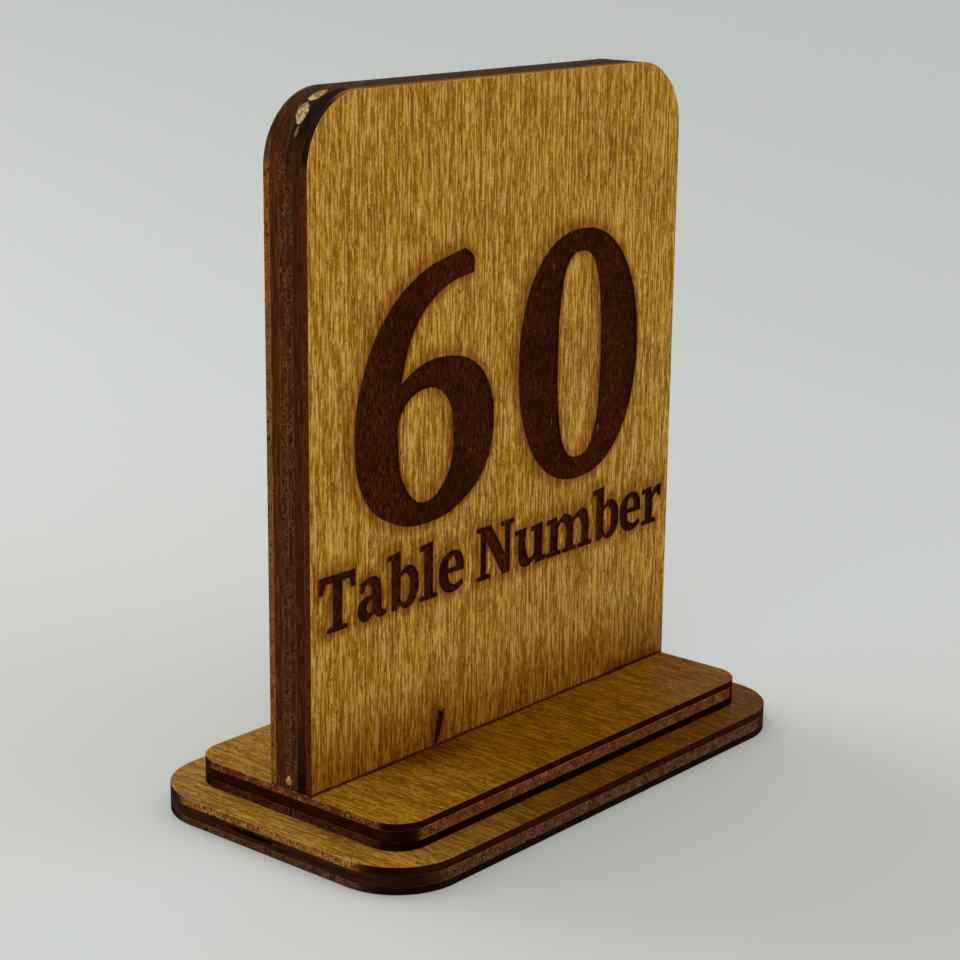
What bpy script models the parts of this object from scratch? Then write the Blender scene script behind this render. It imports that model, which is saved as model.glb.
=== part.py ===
"""Table number holder: a laser-cut plywood sign on a two-step plywood foot.

Four cut sheets make it: a front and a rear sheet glued face to face, and an upper and a lower
foot plate. Each sheet is plywood of three plies, and every ply is an object of its own. The
sign's tenons stand in mortises through the upper plate, and the lower plate closes them below.

Metres, +Z up. X runs along the sign, its engraved front faces -Y, and the origin is the middle
of the lower plate's underside.
"""

import math

import bmesh
import bpy

# Driving dimensions
MM = 0.001
PLY = 0.00105
GLUE_LINE = 0.0003
PLIES_IN_SHEET = 3

SIGN_WIDTH = 0.080
SIGN_HEIGHT = 0.094
SIGN_CORNER = 0.010

UPPER_LENGTH = 0.080
UPPER_DEPTH = 0.040
UPPER_CORNER = 0.005
FOOT_STEP = 0.005

TENON_WIDTH = 0.009
TENON_PITCH = 0.025
TENON_COUNT = 3
JOINT_CLEARANCE = 0.0003

ENGRAVING_DEPTH = 0.00035
DIGIT_FOOT = 0.0336
DIGIT_HEIGHT = 0.0373
ZERO_CENTRE = 0.0167
ZERO_HALF_WIDTH = 0.0140
ZERO_BOW_WIDTH = 0.0089
ZERO_BOW_HEIGHT = 0.0032
ZERO_OUTER_POWER = 2.2
ZERO_INNER_POWER = 2.7
CAPTION_WORDS = "Table Number"
CAPTION_WIDTH = 0.0765
CAPTION_BASELINE = 0.0225
LETTER_SPACE = 0.3
WORD_SPACE = 2.6

ARC_STEPS = 10
ROUND_STEPS = 64
CURVE_STEPS = 4
WELD_DISTANCE = 0.00001
SHARP_ANGLE = math.radians(30)
UPRIGHT = (math.radians(90), 0, 0)

# Each veneer's colour and roughness
FACE_VENEER = ((0.35, 0.18, 0.04), 0.5)
CORE_VENEER = ((0.045, 0.014, 0.006), 0.65)
BACK_VENEER = ((0.14, 0.055, 0.02), 0.6)

# Worked out from them
SHEET = PLIES_IN_SHEET * PLY + (PLIES_IN_SHEET - 1) * GLUE_LINE
PLY_PITCH = PLY + GLUE_LINE
LOWER_LENGTH = UPPER_LENGTH + 2 * FOOT_STEP
LOWER_DEPTH = UPPER_DEPTH + 2 * FOOT_STEP
LOWER_CORNER = UPPER_CORNER + FOOT_STEP
UPPER_BOTTOM = SHEET + GLUE_LINE
FOOT_TOP = UPPER_BOTTOM + SHEET
SIGN_BOTTOM = FOOT_TOP + GLUE_LINE
SIGN_TOP = FOOT_TOP + SIGN_HEIGHT
SIGN_HALF_DEPTH = SHEET + GLUE_LINE / 2
TENON_CENTRES = [(i - (TENON_COUNT - 1) / 2) * TENON_PITCH for i in range(TENON_COUNT)]

# A point of an outline is a corner, unless it is marked as smooth.
SMOOTH = "smooth"

# The digit six, in millimetres from the sign's middle and from its foot
SIX_OUTSIDE = [
    (-9.3, 71.1), (-7.5, 69.7, SMOOTH), (-7.4, 67.6), (-12.0, 66.8, SMOOTH), (-17.0, 64.1, SMOOTH),
    (-20.4, 59.8, SMOOTH), (-22.3, 54.1), (-18.4, 56.0, SMOOTH), (-13.5, 56.6, SMOOTH),
    (-7.1, 54.9, SMOOTH), (-3.7, 50.9, SMOOTH), (-2.8, 46.5, SMOOTH), (-3.9, 40.8, SMOOTH),
    (-8.1, 36.2, SMOOTH), (-17.0, 33.7, SMOOTH), (-25.0, 35.6, SMOOTH), (-29.7, 39.9, SMOOTH),
    (-31.3, 48.0, SMOOTH), (-29.9, 55.7, SMOOTH), (-25.6, 63.3, SMOOTH), (-18.5, 68.6, SMOOTH),
]
SIX_COUNTER = [
    (-22.3, 49.9, SMOOTH), (-17.6, 52.8, SMOOTH), (-13.1, 51.2, SMOOTH), (-11.5, 46.1, SMOOTH),
    (-12.7, 39.7, SMOOTH), (-17.6, 36.7, SMOOTH), (-21.6, 39.9, SMOOTH), (-22.8, 45.6, SMOOTH),
]

# Letters of a plain slab-serif alphabet on a 6.2-unit x-height: each has its width and its
# outlines, the outer one first.
LETTERS = {
    "T": (7.4, [
        [
            (0.0, 8.4), (7.4, 8.4), (7.4, 5.9), (6.6, 5.9), (6.2, 7.4), (4.65, 7.4), (4.65, 0.75),
            (5.8, 0.6), (5.8, 0.0), (1.6, 0.0), (1.6, 0.6), (2.75, 0.75), (2.75, 7.4), (1.2, 7.4),
            (0.8, 5.9), (0.0, 5.9),
        ],
    ]),
    "N": (8.8, [
        [
            (0.0, 8.4), (3.3, 8.4), (6.7, 3.1), (6.7, 7.65), (5.7, 7.8), (5.7, 8.4), (8.8, 8.4),
            (8.8, 7.8), (7.9, 7.65), (7.9, 0.0), (6.2, 0.0), (2.1, 6.2), (2.1, 0.75), (3.1, 0.6),
            (3.1, 0.0), (0.0, 0.0), (0.0, 0.6), (0.9, 0.75), (0.9, 7.65), (0.0, 7.8),
        ],
    ]),
    "a": (6.2, [
        [
            (0.75, 4.3), (0.75, 5.7), (2.9, 6.35, SMOOTH), (4.7, 5.8, SMOOTH), (5.2, 4.3, SMOOTH),
            (5.2, 1.5), (5.5, 0.85, SMOOTH), (6.2, 0.8), (6.2, 0.15), (4.8, -0.1, SMOOTH),
            (3.6, 0.75), (2.0, -0.15, SMOOTH), (0.6, 0.4, SMOOTH), (0.2, 1.8, SMOOTH),
            (0.9, 3.1, SMOOTH), (3.3, 3.65), (3.3, 4.4), (2.5, 5.45, SMOOTH), (1.7, 5.2),
            (1.5, 4.3),
        ],
        [
            (3.3, 2.95), (3.3, 1.35), (2.6, 0.95, SMOOTH), (2.05, 1.8, SMOOTH), (2.4, 2.7, SMOOTH),
        ],
    ]),
    "b": (6.8, [
        [
            (0.0, 8.5), (2.8, 8.8), (2.8, 5.5), (4.4, 6.35, SMOOTH), (6.2, 5.4, SMOOTH),
            (6.8, 3.2, SMOOTH), (6.1, 0.9, SMOOTH), (4.2, -0.15, SMOOTH), (2.5, 0.55), (2.0, 0.0),
            (0.9, 0.0), (0.9, 7.8), (0.0, 7.7),
        ],
        [
            (2.8, 4.8), (3.8, 5.35, SMOOTH), (4.7, 4.6, SMOOTH), (4.9, 3.1, SMOOTH),
            (4.6, 1.5, SMOOTH), (3.7, 0.75, SMOOTH), (2.8, 1.3),
        ],
    ]),
    "e": (5.9, [
        [
            (5.8, 3.0), (5.2, 5.5, SMOOTH), (3.2, 6.35, SMOOTH), (0.9, 5.4, SMOOTH),
            (0.1, 3.1, SMOOTH), (0.9, 0.8, SMOOTH), (3.2, -0.15, SMOOTH), (5.6, 0.7), (5.3, 1.5),
            (3.8, 0.95, SMOOTH), (2.5, 1.5, SMOOTH), (2.05, 3.0),
        ],
        [
            (2.05, 3.7), (2.4, 5.1, SMOOTH), (3.1, 5.6, SMOOTH), (3.75, 5.1, SMOOTH), (4.0, 3.7),
        ],
    ]),
    "l": (3.9, [
        [
            (0.0, 8.5), (2.9, 8.8), (2.9, 0.75), (3.9, 0.6), (3.9, 0.0), (0.0, 0.0), (0.0, 0.6),
            (1.0, 0.75), (1.0, 7.8), (0.0, 7.7),
        ],
    ]),
    "m": (11.6, [
        [
            (0.0, 6.0), (2.5, 6.25), (2.7, 5.3), (4.7, 6.35, SMOOTH), (6.6, 5.3),
            (8.7, 6.35, SMOOTH), (10.2, 5.8, SMOOTH), (10.7, 4.3, SMOOTH), (10.7, 0.75),
            (11.6, 0.6), (11.6, 0.0), (8.0, 0.0), (8.0, 0.6), (8.8, 0.75), (8.8, 4.2, SMOOTH),
            (7.8, 5.2, SMOOTH), (6.75, 4.5), (6.75, 0.75), (7.5, 0.6), (7.5, 0.0), (4.1, 0.0),
            (4.1, 0.6), (4.85, 0.75), (4.85, 4.2, SMOOTH), (3.9, 5.2, SMOOTH), (2.8, 4.5),
            (2.8, 0.75), (3.6, 0.6), (3.6, 0.0), (0.0, 0.0), (0.0, 0.6), (0.9, 0.75), (0.9, 5.4),
            (0.0, 5.3),
        ],
    ]),
    "r": (5.2, [
        [
            (0.0, 6.0), (2.5, 6.25), (2.7, 4.9), (3.6, 6.0, SMOOTH), (5.2, 6.3), (5.1, 4.4),
            (4.4, 4.4), (4.1, 5.05, SMOOTH), (2.8, 4.0), (2.8, 0.75), (3.9, 0.6), (3.9, 0.0),
            (0.0, 0.0), (0.0, 0.6), (0.9, 0.75), (0.9, 5.4), (0.0, 5.3),
        ],
    ]),
    "u": (7.6, [
        [
            (0.0, 6.0), (2.8, 6.25), (2.8, 2.2, SMOOTH), (3.7, 1.0, SMOOTH), (4.85, 1.6),
            (4.85, 5.4), (4.0, 5.3), (4.0, 6.0), (6.75, 6.25), (6.75, 0.85), (7.6, 0.7),
            (7.6, 0.1), (5.1, -0.1), (4.9, 0.8), (2.9, -0.15, SMOOTH), (1.3, 0.5, SMOOTH),
            (0.9, 2.0, SMOOTH), (0.9, 5.4), (0.0, 5.3),
        ],
    ]),
}


def clear_scene():
    for existing in list(bpy.data.objects):
        bpy.data.objects.remove(existing)


def new_collection(name):
    collection = bpy.data.collections.new(name)
    bpy.context.scene.collection.children.link(collection)
    return collection


def wood(name, colour, roughness):
    material = bpy.data.materials.new(name)
    material.use_nodes = True
    shader = material.node_tree.nodes["Principled BSDF"]
    shader.inputs["Base Color"].default_value = (*colour, 1.0)
    shader.inputs["Roughness"].default_value = roughness
    shader.inputs["Metallic"].default_value = 0.0
    material.diffuse_color = (*colour, 1.0)
    return material


def arc(centre, radius, start_degrees):
    """A quarter circle's points, anticlockwise from start_degrees."""
    points = []
    for step in range(ARC_STEPS + 1):
        angle = math.radians(start_degrees + 90 * step / ARC_STEPS)
        x = centre[0] + radius * math.cos(angle)
        y = centre[1] + radius * math.sin(angle)
        points.append((x, y))
    return points


def rounded_rectangle(length, depth, corner):
    x = length / 2 - corner
    y = depth / 2 - corner
    points = arc((x, y), corner, 0)
    points += arc((-x, y), corner, 90)
    points += arc((-x, -y), corner, 180)
    points += arc((x, -y), corner, 270)
    return points


def rectangle(centre_x, length, depth):
    x = length / 2
    y = depth / 2
    return [(centre_x - x, -y), (centre_x + x, -y), (centre_x + x, y), (centre_x - x, y)]


def sign_outline():
    """The sign seen from the front: tenons along its foot, and two round upper corners."""
    half = SIGN_WIDTH / 2
    points = [(-half, SIGN_BOTTOM)]
    for centre in TENON_CENTRES:
        points.append((centre - TENON_WIDTH / 2, SIGN_BOTTOM))
        points.append((centre - TENON_WIDTH / 2, UPPER_BOTTOM))
        points.append((centre + TENON_WIDTH / 2, UPPER_BOTTOM))
        points.append((centre + TENON_WIDTH / 2, SIGN_BOTTOM))
    points.append((half, SIGN_BOTTOM))
    shoulder = half - SIGN_CORNER
    points += arc((shoulder, SIGN_TOP - SIGN_CORNER), SIGN_CORNER, 0)
    points += arc((-shoulder, SIGN_TOP - SIGN_CORNER), SIGN_CORNER, 90)
    return points


def superellipse(centre, half_width, half_height, power):
    points = []
    for step in range(ROUND_STEPS):
        angle = 2 * math.pi * step / ROUND_STEPS
        across = math.copysign(abs(math.cos(angle)) ** (2 / power), math.cos(angle))
        up = math.copysign(abs(math.sin(angle)) ** (2 / power), math.sin(angle))
        points.append((centre[0] + half_width * across, centre[1] + half_height * up))
    return points


def new_flat_curve(name, thickness, collection):
    curve = bpy.data.curves.new(name, "CURVE")
    curve.dimensions = "2D"
    curve.fill_mode = "BOTH"
    curve.extrude = thickness / 2
    curve.resolution_u = CURVE_STEPS
    flat = bpy.data.objects.new(name, curve)
    collection.objects.link(flat)
    return flat


def add_polygon(flat, points):
    spline = flat.data.splines.new("POLY")
    spline.points.add(len(points) - 1)
    for knot, (x, y) in zip(spline.points, points):
        knot.co = (x, y, 0, 1)
    spline.use_cyclic_u = True


def add_outline(flat, points, shift=(0.0, 0.0), scale=MM):
    """A closed outline of corners and smooth points, in drawing units."""
    spline = flat.data.splines.new("BEZIER")
    spline.bezier_points.add(len(points) - 1)
    for knot, point in zip(spline.bezier_points, points):
        knot.co = (shift[0] + point[0] * scale, shift[1] + point[1] * scale, 0)
        kind = "AUTO" if SMOOTH in point else "VECTOR"
        knot.handle_left_type = kind
        knot.handle_right_type = kind
    spline.use_cyclic_u = True


def is_cap(face):
    """True for a face that lies flat across the outline, and not along its side."""
    heights = [corner.co.z for corner in face.verts]
    return max(heights) - min(heights) < WELD_DISTANCE


def join_caps(welded):
    """Makes each cap one face, so that no sliver is left between the tenons' shoulders."""
    inside = [edge for edge in welded.edges if all(is_cap(face) for face in edge.link_faces)]
    bmesh.ops.dissolve_edges(welded, edges=inside)


def as_solid(flat, one_outline=False):
    """The flat curve turned into one closed mesh in the same place, with its caps welded on."""
    bpy.context.view_layer.update()
    evaluated = flat.evaluated_get(bpy.context.evaluated_depsgraph_get())
    mesh = bpy.data.meshes.new_from_object(evaluated)
    welded = bmesh.new()
    welded.from_mesh(mesh)
    bmesh.ops.remove_doubles(welded, verts=welded.verts, dist=WELD_DISTANCE)
    bmesh.ops.recalc_face_normals(welded, faces=welded.faces)
    if one_outline:
        join_caps(welded)
    welded.to_mesh(mesh)
    welded.free()
    mesh.shade_smooth()
    mesh.set_sharp_from_angle(angle=SHARP_ANGLE)
    name = flat.name
    place = flat.matrix_world.copy()
    collection = flat.users_collection[0]
    bpy.data.objects.remove(flat)
    solid = bpy.data.objects.new(name, mesh)
    solid.matrix_world = place
    collection.objects.link(solid)
    return solid


def plate_ply(name, bottom, size, holes, material, collection, holder):
    """A horizontal ply with its underside at height bottom."""
    flat = new_flat_curve(name, PLY, collection)
    add_polygon(flat, rounded_rectangle(*size))
    for hole in holes:
        add_polygon(flat, hole)
    flat.location = (0, 0, bottom + PLY / 2)
    solid = as_solid(flat)
    solid.data.materials.append(material)
    solid.parent = holder
    return solid


def sign_ply(name, front, material, collection, holder):
    """An upright ply with its front side at y = front."""
    flat = new_flat_curve(name, PLY, collection)
    add_polygon(flat, sign_outline())
    flat.rotation_euler = UPRIGHT
    flat.location = (0, front + PLY / 2, 0)
    solid = as_solid(flat, one_outline=True)
    solid.data.materials.append(material)
    solid.parent = holder
    return solid


def lower_plate(materials, collection, holder):
    size = (LOWER_LENGTH, LOWER_DEPTH, LOWER_CORNER)
    names = ("bottom", "core", "top")
    for level, name in enumerate(names):
        bottom = level * PLY_PITCH
        plate_ply(
            f"lower_plate_{name}_ply", bottom, size, [], materials[name], collection, holder
        )


def upper_plate(materials, collection, holder):
    size = (UPPER_LENGTH, UPPER_DEPTH, UPPER_CORNER)
    mortise_length = TENON_WIDTH + 2 * JOINT_CLEARANCE
    mortise_depth = 2 * (SIGN_HALF_DEPTH + JOINT_CLEARANCE)
    mortises = [rectangle(centre, mortise_length, mortise_depth) for centre in TENON_CENTRES]
    names = ("bottom", "core", "top")
    for level, name in enumerate(names):
        bottom = UPPER_BOTTOM + level * PLY_PITCH
        plate_ply(
            f"upper_plate_{name}_ply", bottom, size, mortises, materials[name], collection, holder
        )


def digit_cutter(collection):
    """A six and a zero as tall as each other, long enough in depth to cut the face."""
    cutter = new_flat_curve("digit_cutter", 2 * ENGRAVING_DEPTH, collection)
    foot = (0.0, FOOT_TOP)
    add_outline(cutter, SIX_OUTSIDE, foot)
    add_outline(cutter, SIX_COUNTER, foot)
    half_height = DIGIT_HEIGHT / 2
    centre = (ZERO_CENTRE, FOOT_TOP + DIGIT_FOOT + half_height)
    inner_width = ZERO_HALF_WIDTH - ZERO_BOW_WIDTH
    inner_height = half_height - ZERO_BOW_HEIGHT
    add_polygon(cutter, superellipse(centre, ZERO_HALF_WIDTH, half_height, ZERO_OUTER_POWER))
    add_polygon(cutter, superellipse(centre, inner_width, inner_height, ZERO_INNER_POWER))
    return cutter


def caption_cutter(collection):
    """The caption's letters in one line, scaled to the caption's width and centred."""
    cutter = new_flat_curve("caption_cutter", 2 * ENGRAVING_DEPTH, collection)
    placed = []
    pen = 0.0
    for letter in CAPTION_WORDS:
        if letter == " ":
            pen += WORD_SPACE
            continue
        width, outlines = LETTERS[letter]
        placed.append((pen, outlines))
        pen += width + LETTER_SPACE
    line_width = pen - LETTER_SPACE
    scale = CAPTION_WIDTH / line_width
    baseline = FOOT_TOP + CAPTION_BASELINE
    for offset, outlines in placed:
        for outline in outlines:
            shift = (offset * scale - CAPTION_WIDTH / 2, baseline)
            add_outline(cutter, outline, shift, scale)
    return cutter


def engrave(face, cutters):
    """Sinks the cutters into the face by the engraving's depth."""
    front = -SIGN_HALF_DEPTH
    for flat in cutters:
        flat.rotation_euler = UPRIGHT
        flat.location = (0, front, 0)
        solid = as_solid(flat)
        solid.hide_render = True
        solid.display_type = "WIRE"
        cut = face.modifiers.new(solid.name, "BOOLEAN")
        cut.operation = "DIFFERENCE"
        cut.solver = "EXACT"
        cut.object = solid


def sign(materials, collection, cutters, holder):
    names = (
        ("front_sheet_face_ply", "top"),
        ("front_sheet_core_ply", "core"),
        ("front_sheet_inner_ply", "bottom"),
        ("rear_sheet_inner_ply", "bottom"),
        ("rear_sheet_core_ply", "core"),
        ("rear_sheet_face_ply", "top"),
    )
    plies = []
    for level, (name, kind) in enumerate(names):
        front = -SIGN_HALF_DEPTH + level * PLY_PITCH
        plies.append(sign_ply(name, front, materials[kind], collection, holder))
    engrave(plies[0], [digit_cutter(cutters), caption_cutter(cutters)])


def build():
    clear_scene()
    parts = new_collection("table_number_holder")
    cutters = new_collection("cutters")
    holder = bpy.data.objects.new("holder", None)
    parts.objects.link(holder)
    materials = {
        "top": wood("face_veneer", *FACE_VENEER),
        "core": wood("core_veneer", *CORE_VENEER),
        "bottom": wood("back_veneer", *BACK_VENEER),
    }
    lower_plate(materials, parts, holder)
    upper_plate(materials, parts, holder)
    sign(materials, parts, cutters, holder)


build()
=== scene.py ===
"""Looks of the table number holder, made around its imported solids.

Every ply is made again as a closed mesh with the edge that a laser leaves: scorched, scalloped across
the sheet and torn along the fibres. The plies meet here, where the solids keep a gap. The engraved
outlines are read from the front ply's own solid. Lengths are in metres.
"""

import math

import bmesh
import bpy
import numpy as np
from mathutils import Matrix, Vector, geometry, kdtree, noise


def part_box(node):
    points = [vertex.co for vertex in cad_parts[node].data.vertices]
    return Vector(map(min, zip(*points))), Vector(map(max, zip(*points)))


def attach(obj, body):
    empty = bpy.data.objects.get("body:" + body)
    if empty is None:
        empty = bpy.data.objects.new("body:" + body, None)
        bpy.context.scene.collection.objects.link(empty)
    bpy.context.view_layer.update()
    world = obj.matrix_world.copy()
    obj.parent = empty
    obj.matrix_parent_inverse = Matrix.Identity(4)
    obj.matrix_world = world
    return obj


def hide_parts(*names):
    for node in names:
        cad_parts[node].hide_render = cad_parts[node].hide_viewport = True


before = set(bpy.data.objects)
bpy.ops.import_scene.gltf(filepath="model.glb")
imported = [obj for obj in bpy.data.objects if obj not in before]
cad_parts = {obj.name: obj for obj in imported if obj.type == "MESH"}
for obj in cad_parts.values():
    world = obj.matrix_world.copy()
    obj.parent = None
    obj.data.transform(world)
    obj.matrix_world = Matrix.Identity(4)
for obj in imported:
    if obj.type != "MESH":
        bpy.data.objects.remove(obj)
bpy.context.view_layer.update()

MM = 0.001

# The sheets, where the frame's boxes don't say it
SIGN_CORNER = 10 * MM
UPPER_CORNER = 5 * MM
LOWER_CORNER = 10 * MM
TENON_WIDTH = 9 * MM
TENON_PITCH = 25 * MM
TENON_COUNT = 3
GLUE_FILM = 0.02 * MM

# How finely the meshes are made. Past FAR nothing depends on a distance any more
EDGE_STEP = 0.3 * MM
ROW_STEP = 0.3 * MM
HIDDEN_STEP = 2 * MM
ARRIS = 0.05 * MM
FINE_GRID = 0.45 * MM
COARSE_GRID = 2 * MM
FINE_REACH = 1.8 * MM
KEEP_CLEAR = 0.2 * MM
TINY = 0.001 * MM
FAR = 9 * MM
FAR_SHARE = 9.0
SHARP = math.radians(38)

# The engraving's section, from its rim to its floor: how far each row stands inside the outline,
# and how deep
ENGRAVED_ROWS = ((-0.05 * MM, 0.0), (0.0, 0.05 * MM), (0.02 * MM, 0.28 * MM), (0.07 * MM, 0.35 * MM))
ENGRAVING_STEP = 0.25 * MM

# How far the engraving's smoke was blown, and how much farther to the left and upward
SMOKE_REACH = 2.0 * MM
SMOKE_LEFTWARD = 1.2 * MM
SMOKE_UPWARD = 0.5 * MM

# Marks in the front veneer, as (x, z) points in millimetres: a short split above the foot line, and
# the stretch where the joint at the foot gapes
SPLIT = (
    (-13.0, 13.1),
    (-13.6, 12.7),
    (-14.1, 13.1),
    (-14.6, 11.2),
    (-15.0, 9.6),
    (-15.1, 8.2),
    (-14.6, 8.2),
    (-14.0, 9.3),
    (-13.5, 10.9),
)
GAPING_JOINT = ((26.2, 8.0), (38.0, 7.98), (36.0, 8.1), (30.5, 8.2), (27.1, 8.35))

# The knock on the sign's upper left corner, as blots: the angle round the corner in degrees, the
# place across the sheets, the half length in degrees, the half width, how far the blot drifts across
# in each degree, and how bare it is
KNOCK = (
    (111, 0.2 * MM, 11, 0.95 * MM, 0.0, 1.0),
    (133, -0.05 * MM, 12, 1.05 * MM, -0.055 * MM, 1.0),
    (150, -0.75 * MM, 8, 0.5 * MM, 0.0, 0.45),
)
KNOCK_SPAN = (95, 160)
SPLINTER_DEPTH = 0.45 * MM

# Ovals on the plates' left edges, as (y, z, half width, half height): dried glue below the sign's
# edge, and a gap in the lower plate's core that the cut has opened
GLUE_SPOTS = (
    (-2.5 * MM, 6.9 * MM, 1.1 * MM, 0.3 * MM),
    (0.2 * MM, 7.2 * MM, 0.25 * MM, 0.5 * MM),
)
GLUE_BARENESS = 0.55
CORE_VOID = (3.0 * MM, 1.95 * MM, 5.2 * MM, 0.42 * MM)
VOID_DEPTH = 0.5 * MM
LEFT_EDGE_REACH = 0.5 * MM

# A mesh's material slots
VENEER, EDGE, BURNT = range(3)

# How far apart the plies lie in the noise that shapes and colours their edges. The plates' plies are
# set apart from the sign's by FOOT_SEED in their shapes and by FOOT_LOOKS steps in their colours
SEED_STEP = 7.3
FOOT_SEED = 50
FOOT_LOOKS = 10


# ---------------------------------------------------------------- outlines


def outline(corners, step):
    """Points and outward normals along an anticlockwise outline. Its corners are right-angled and
    given as (x, y, radius)."""
    points = []
    normals = []
    count = len(corners)
    spots = [np.array(corner[:2]) for corner in corners]
    for index, (spot, corner) in enumerate(zip(spots, corners)):
        radius = corner[2]
        back = spots[index - 1] - spot
        ahead = spots[(index + 1) % count] - spot
        back /= np.linalg.norm(back)
        ahead /= np.linalg.norm(ahead)
        if radius:
            steps = math.ceil(radius * math.pi / 2 / step)
            for turn in np.linspace(0, math.pi / 2, steps + 1):
                out = -ahead * math.cos(turn) - back * math.sin(turn)
                normals.append(out)
                points.append(spot + radius * (back + ahead) + radius * out)
        else:
            incoming = np.array((-back[1], back[0]))
            outgoing = np.array((ahead[1], -ahead[0]))
            normals.append((incoming + outgoing) / math.sqrt(2))
            points.append(spot)
        start = spot + ahead * radius
        stop = spots[(index + 1) % count] - ahead * corners[(index + 1) % count][2]
        steps = math.ceil(np.linalg.norm(stop - start) / step)
        side = np.array((ahead[1], -ahead[0]))
        for share in np.arange(1, steps) / steps:
            points.append(start + (stop - start) * share)
            normals.append(side)
    return np.array(points), np.array(normals)


def rectangle(low, high, radius=0.0):
    left, front = low
    right, back = high
    return [(left, front, radius), (right, front, radius), (right, back, radius), (left, back, radius)]


def sign_corners(half, foot, top, tenon_foot):
    """The sign's corners with its tenons, anticlockwise from the lower left."""
    corners = [(-half, foot, 0.0)]
    for centre in tenon_centres():
        left = centre - TENON_WIDTH / 2
        right = centre + TENON_WIDTH / 2
        corners += [(left, foot, 0.0), (left, tenon_foot, 0.0)]
        corners += [(right, tenon_foot, 0.0), (right, foot, 0.0)]
    corners += [(half, foot, 0.0), (half, top, SIGN_CORNER), (-half, top, SIGN_CORNER)]
    return corners


def tenon_centres():
    return [(index - (TENON_COUNT - 1) / 2) * TENON_PITCH for index in range(TENON_COUNT)]


def signed_area(points):
    x, y = points[:, 0], points[:, 1]
    return 0.5 * float(np.sum(x * np.roll(y, -1) - np.roll(x, -1) * y))


def inside(point, loop):
    """True where a point lies inside a loop."""
    x, y = loop[:, 0], loop[:, 1]
    next_x, next_y = np.roll(x, -1), np.roll(y, -1)
    spans = (y > point[1]) != (next_y > point[1])
    with np.errstate(divide="ignore", invalid="ignore"):
        crossing = x + (point[1] - y) / (next_y - y) * (next_x - x)
    return bool(np.count_nonzero(spans & (crossing > point[0])) % 2)


def engraved_loops():
    """The outlines cut into the front ply's face, as (x, z) loops read from its solid."""
    solid = bmesh.new()
    solid.from_mesh(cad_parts["front_sheet_face_ply"].data)
    bmesh.ops.remove_doubles(solid, verts=solid.verts, dist=TINY)
    front = min(corner.co.y for corner in solid.verts)

    def lies_in_front(face):
        return all(corner.co.y - front < 10 * TINY for corner in face.verts)

    ahead = {}
    for face in solid.faces:
        if not lies_in_front(face):
            continue
        for loop in face.loops:
            if not lies_in_front(loop.link_loop_radial_next.face):
                ahead[loop.vert.index] = (loop.link_loop_next.vert.index, loop.vert.co.x, loop.vert.co.z)
    loops = []
    while ahead:
        index = next(iter(ahead))
        loop = []
        while index in ahead:
            index, x, z = ahead.pop(index)
            loop.append((x, z))
        loops.append(np.array(loop))
    solid.free()
    loops.sort(key=lambda loop: -abs(signed_area(loop)))
    return loops[1:]


def resampled(loop, step):
    """A loop's sides cut into steps, with a normal at each point that faces its right side."""
    points = []
    normals = []
    sides = np.roll(loop, -1, axis=0) - loop
    lengths = np.linalg.norm(sides, axis=1)
    rights = np.column_stack((sides[:, 1], -sides[:, 0])) / lengths[:, None]
    for index, start in enumerate(loop):
        corner = rights[index - 1] + rights[index]
        steps = max(1, math.ceil(lengths[index] / step))
        for part in range(steps):
            points.append(start + sides[index] * part / steps)
            normals.append(corner / max(np.linalg.norm(corner), 0.5) if part == 0 else rights[index])
    return np.array(points), np.array(normals)


def turned(loop, anticlockwise):
    return loop if (signed_area(loop) > 0) == anticlockwise else loop[::-1]


# ---------------------------------------------------------------- meshes


class Body:
    """Points, faces and per-point values gathered for one mesh. The values say, for the materials:

    grain: 1 where the edge is cut across the fibres and 0 where it is cut along them
    level: the place from 0 to 1 through the ply's thickness
    outline_mm: how far the point is from the outline
    smoke_share: how far it is from the engraving, as a share of the smoke's reach
    raw: above 0 bare splinters or glue, below 0 a black hollow
    """

    def __init__(self, place):
        self.place = place
        self.points = []
        self.faces = []
        self.slots = []
        self.values = {"grain": [], "level": [], "outline_mm": [], "smoke_share": [], "raw": []}

    def add_point(self, u, v, w, grain=0.0, level=0.5, outline_gap=FAR, smoke=FAR_SHARE, raw=0.0):
        self.points.append(self.place(u, v, w))
        self.values["grain"].append(grain)
        self.values["level"].append(level)
        self.values["outline_mm"].append(outline_gap / MM)
        self.values["smoke_share"].append(smoke)
        self.values["raw"].append(raw)
        return len(self.points) - 1

    def add_face(self, corners, slot):
        self.faces.append(corners)
        self.slots.append(slot)

    def add_wall(self, lower, upper, slot):
        """Faces between two rings of points."""
        count = len(lower)
        for index in range(count):
            after = (index + 1) % count
            self.add_face((lower[index], lower[after], upper[after], upper[index]), slot)

    def finish(self, name, materials):
        mesh = bpy.data.meshes.new(name)
        mesh.from_pydata(self.points, [], self.faces)
        for material in materials:
            mesh.materials.append(material)
        mesh.polygons.foreach_set("material_index", self.slots)
        for key, numbers in self.values.items():
            mesh.attributes.new(key, "FLOAT", "POINT").data.foreach_set("value", numbers)
        shape = bmesh.new()
        shape.from_mesh(mesh)
        bmesh.ops.recalc_face_normals(shape, faces=shape.faces)
        shape.to_mesh(mesh)
        shape.free()
        mesh.shade_smooth()
        mesh.set_sharp_from_angle(angle=SHARP)
        made = bpy.data.objects.new(name, mesh)
        bpy.context.scene.collection.objects.link(made)
        return made


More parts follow.
